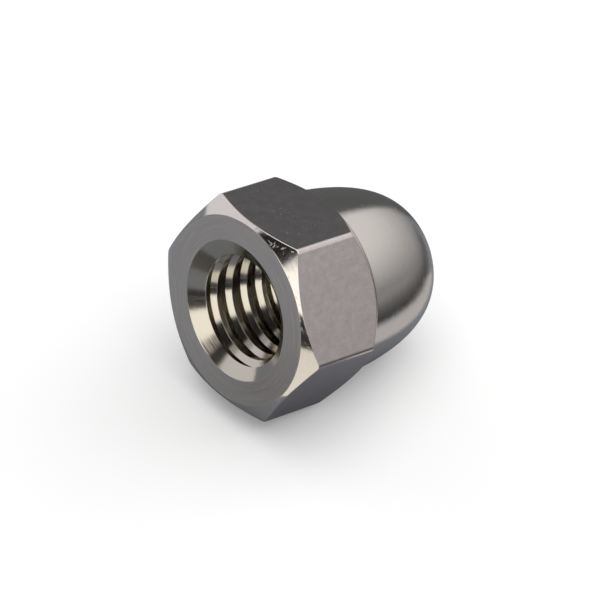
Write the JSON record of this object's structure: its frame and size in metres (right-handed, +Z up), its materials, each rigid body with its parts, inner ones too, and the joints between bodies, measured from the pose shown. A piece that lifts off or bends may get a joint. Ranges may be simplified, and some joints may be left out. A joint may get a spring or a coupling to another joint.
{
  "type": "cap nut",
  "caption": "Hexagonal cap nut with a high domed end that closes and protects the tip of a screw; bright nickel-plated, right-hand M8 thread.",
  "frame": {"origin": "on the surface the nut lies on, under the middle of its bounding box", "axes": "+Z up; the nut's axis lies in the YZ plane, dome towards +Y, tilted 12.5 degrees below level, so the open end faces -Y and slightly up; two flats are level with +X"},
  "size_m": [0.0146, 0.0156, 0.0138],
  "materials": {
    "nickel_plate": "polished"
  },
  "bodies": {
    "root": {"cap_nut": "nickel_plate"}
  },
  "joints": []
}
